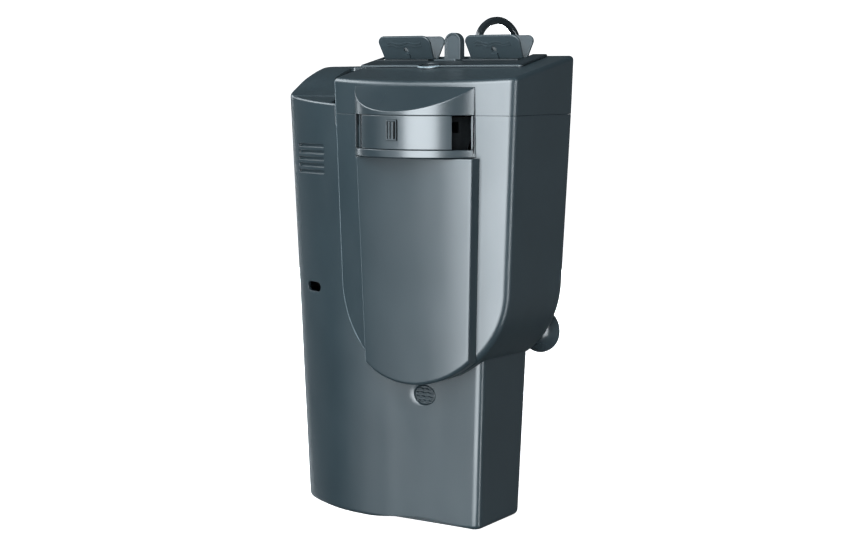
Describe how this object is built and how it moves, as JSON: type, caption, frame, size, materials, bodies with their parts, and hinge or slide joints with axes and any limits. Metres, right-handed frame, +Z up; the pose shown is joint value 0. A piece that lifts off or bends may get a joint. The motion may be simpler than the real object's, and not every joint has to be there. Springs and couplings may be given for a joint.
{
  "type": "in-tank aquarium filter",
  "caption": "In-tank aquarium filter box with a heater bay, a hood with a round outlet and swinging shutter, lift-out cartridges, foam column, pump and mains lead.",
  "frame": {"origin": "middle of the filter's own box at the height of its base, the cord and plug left out", "axes": "+X to the filter's right seen from its front, -Y out of the front, +Z up"},
  "size_m": [0.207, 0.186, 0.3187],
  "materials": {
    "shell_slate": "satin moulded dark slate plastic",
    "shell_dark": "fine-grained dark plastic",
    "outlet_gloss": "polished slate plastic",
    "handle_grey": "semi-matt grey plastic",
    "soft_rubber": "soft rubber",
    "cup_rubber": "smooth shiny rubber",
    "cord_black": "smooth flexible sheath",
    "fleece": "fluffy white fleece",
    "carbon": "granular black carbon",
    "bio_foam": "open-cell foam",
    "ceramic": "ground ceramic",
    "magnet": "sintered ferrite",
    "impeller_plastic": "smooth pale plastic",
    "pin_metal": "plated and polished"
  },
  "bodies": {
    "root": {"housing": "shell_slate", "heater_clip_lower": "shell_dark", "heater_clip_upper": "shell_dark", "hood_shell": "shell_slate", "hood_cap": "shell_slate", "front_panel": "shell_slate", "outlet_barrel": "outlet_gloss", "motor_housing": "shell_dark", "pump_shaft": "ceramic", "lower_bush": "soft_rubber", "upper_bush": "soft_rubber", "volute_cover": "shell_dark", "outlet_nozzle": "shell_dark", "pump_foot_1": "soft_rubber", "pump_foot_2": "soft_rubber", "pump_shelf": "shell_dark", "cup_bracket_1": "shell_dark", "cup_bracket_2": "shell_dark", "pump_lead": "cord_black", "strain_relief": "cord_black", "power_cord": "cord_black", "cord_coil": "cord_black", "coil_tie": "shell_dark", "plug_body": "cord_black", "plug_pin_1": "pin_metal", "plug_pin_2": "pin_metal", "suction_cup_1": "cup_rubber", "suction_cup_2": "cup_rubber", "suction_cup_3": "cup_rubber", "suction_cup_4": "cup_rubber"},
    "shutter": {"flow_shutter": "outlet_gloss"},
    "lid": {"lid": "shell_dark"},
    "catch": {"hood_catch": "shell_slate"},
    "cartridge_left": {"cartridge_left_frame": "shell_dark", "cartridge_left_fleece_front": "fleece", "cartridge_left_fleece_rear": "fleece", "cartridge_left_carbon": "carbon", "cartridge_left_handle_front": "handle_grey", "cartridge_left_handle_rear": "handle_grey"},
    "cartridge_right": {"cartridge_right_frame": "shell_dark", "cartridge_right_fleece_front": "fleece", "cartridge_right_fleece_rear": "fleece", "cartridge_right_carbon": "carbon", "cartridge_right_handle_front": "handle_grey", "cartridge_right_handle_rear": "handle_grey"},
    "foam_column": {"foam_frame": "handle_grey", "bio_foam": "bio_foam"},
    "rotor": {"magnet_rotor": "magnet", "impeller": "impeller_plastic"}
  },
  "joints": [
    {"name": "shutter_swing", "type": "hinge", "parent": "root", "child": "shutter", "pos_m": [0.0235, -0.0044, 0.2469], "axis": [0, 0, 1], "range_deg": [-31, 15]},
    {"name": "lid_lift", "type": "slide", "parent": "root", "child": "lid", "axis": [0, 0, 1], "range_m": [0, 0.03]},
    {"name": "catch_press", "type": "slide", "parent": "root", "child": "catch", "axis": [0, 1, 0], "range_m": [0, 0.0025], "stiffness_N_per_m": 800},
    {"name": "cartridge_left_lift", "type": "slide", "parent": "root", "child": "cartridge_left", "axis": [0, 0, 1], "range_m": [0, 0.16]},
    {"name": "cartridge_right_lift", "type": "slide", "parent": "root", "child": "cartridge_right", "axis": [0, 0, 1], "range_m": [0, 0.16]},
    {"name": "foam_lift", "type": "slide", "parent": "root", "child": "foam_column", "axis": [0, 0, 1], "range_m": [0, 0.11]},
    {"name": "rotor_spin", "type": "hinge", "parent": "root", "child": "rotor", "pos_m": [0.0229, -0.0135, 0.19], "axis": [0, 0, 1], "continuous": true}
  ]
}
